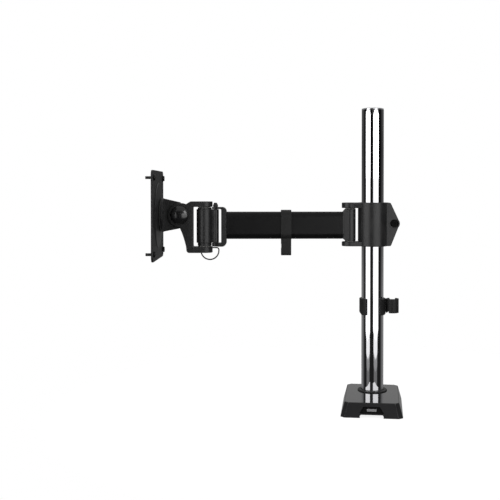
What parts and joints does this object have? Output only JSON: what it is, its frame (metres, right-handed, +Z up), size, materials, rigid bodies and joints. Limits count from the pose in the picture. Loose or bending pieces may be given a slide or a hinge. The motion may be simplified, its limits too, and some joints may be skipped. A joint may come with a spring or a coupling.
{
  "type": "monitor arm",
  "caption": "Desk-mounted monitor arm: chrome pole on a tapered base, sliding collar, black tube arm, double-pivot head with tilt and a square screen plate.",
  "frame": {"origin": "on the pole's axis at the underside of the base pad, where the arm meets the desk", "axes": "+Z up along the pole; -Y out of the base's front; the arm lies along -X, turned 8 degrees about the pole towards -Y"},
  "size_m": [0.3464, 0.1406, 0.4034],
  "materials": {
    "chrome": "polished chrome plate",
    "gloss_black": "high-gloss black moulding",
    "cast_black": "satin black powder coat on a casting",
    "tube_black": "satin black coated extrusion",
    "matt_black": "matt black moulding",
    "sheet_black": "matt black painted steel sheet",
    "black_oxide": "black oxide",
    "zinc": "bright zinc",
    "nylon": "moulded nylon",
    "pad_rubber": "dense foam rubber",
    "light_insert": "brushed light grey",
    "wire_steel": "dark wire"
  },
  "bodies": {
    "base": {"desk_pad": "pad_rubber", "base_plate": "sheet_black", "cover_screw_1": "zinc", "cover_screw_2": "zinc", "cover_screw_3": "zinc", "cover_screw_4": "zinc", "base_cover": "gloss_black", "front_panel": "matt_black", "front_insert": "light_insert", "pole_socket": "sheet_black", "pole_bolt": "black_oxide", "pole": "chrome", "pole_end_plug": "zinc", "pole_top_cap": "chrome", "foot_ring": "matt_black"},
    "pole_clip": {"pole_cable_clip": "matt_black"},
    "bush": {"collar_bush": "nylon"},
    "collar": {"collar": "cast_black", "pinch_bolt": "black_oxide", "pinch_nut": "black_oxide", "arm_pivot_pin": "black_oxide", "arm_pivot_nut": "black_oxide", "arm_pivot_washer_1": "nylon", "arm_pivot_washer_2": "nylon"},
    "arm": {"arm_tube": "tube_black", "arm_root_fitting": "cast_black", "arm_end_yoke": "cast_black", "arm_fitting_screw_1": "black_oxide", "arm_fitting_screw_2": "black_oxide", "link_pin": "black_oxide", "link_pin_cap": "black_oxide"},
    "arm_clip": {"arm_cable_clip": "matt_black"},
    "link": {"swivel_link": "cast_black"},
    "head": {"head_yoke": "cast_black", "head_pin": "black_oxide", "head_pin_nut": "black_oxide", "head_pin_washer_1": "nylon", "head_pin_washer_2": "nylon", "tilt_bolt": "black_oxide", "tilt_cap": "cast_black", "tilt_nut_washer": "zinc", "tilt_nut": "black_oxide"},
    "ring": {"cable_ring": "wire_steel"},
    "tilt": {"tilt_block": "cast_black", "tilt_friction_washer_1": "nylon", "tilt_friction_washer_2": "nylon", "plate_friction_washer": "nylon", "plate_pivot_bolt": "black_oxide"},
    "plate": {"screen_hub": "cast_black", "screen_plate": "sheet_black", "hub_screw_1": "zinc", "hub_screw_2": "zinc", "hub_screw_3": "zinc", "hub_screw_4": "zinc", "screen_screw_1": "black_oxide", "screen_screw_2": "black_oxide", "screen_screw_3": "black_oxide", "screen_screw_4": "black_oxide"}
  },
  "joints": [
    {"name": "pole_clip_height", "type": "slide", "parent": "base", "child": "pole_clip", "axis": [0, 0, 1], "range_m": [-0.095, 0.01]},
    {"name": "arm_height", "type": "slide", "parent": "base", "child": "bush", "axis": [0, 0, 1], "range_m": [-0.045, 0.12]},
    {"name": "collar_swivel", "type": "hinge", "parent": "bush", "child": "collar", "pos_m": [0, 0, 0.2459], "axis": [0, 0, 1], "range_deg": [-180, 180]},
    {"name": "arm_pivot", "type": "hinge", "parent": "collar", "child": "arm", "pos_m": [-0.0303, -0.00426, 0.2446], "axis": [0, 0, 1], "range_deg": [-90, 90]},
    {"name": "arm_clip_slide", "type": "slide", "parent": "arm", "child": "arm_clip", "axis": [0.9903, 0.1392, 0], "range_m": [-0.055, 0.05]},
    {"name": "link_pivot", "type": "hinge", "parent": "arm", "child": "link", "pos_m": [-0.21182, -0.02977, 0.2446], "axis": [0, 0, 1], "range_deg": [-60, 60]},
    {"name": "head_swivel", "type": "hinge", "parent": "link", "child": "head", "pos_m": [-0.22637, -0.03182, 0.2446], "axis": [0, 0, 1], "range_deg": [-60, 60]},
    {"name": "ring_swing", "type": "hinge", "parent": "head", "child": "ring", "pos_m": [-0.22197, -0.01787, 0.2134], "axis": [0.9903, 0.1392, 0], "range_deg": [-8, 85]},
    {"name": "head_tilt", "type": "hinge", "parent": "head", "child": "tilt", "pos_m": [-0.25886, -0.03638, 0.2586], "axis": [-0.1392, 0.9903, 0], "range_deg": [-15, 15]},
    {"name": "plate_rotation", "type": "hinge", "parent": "tilt", "child": "plate", "pos_m": [-0.28371, -0.03987, 0.2586], "axis": [0.9903, 0.1392, 0], "continuous": true}
  ]
}
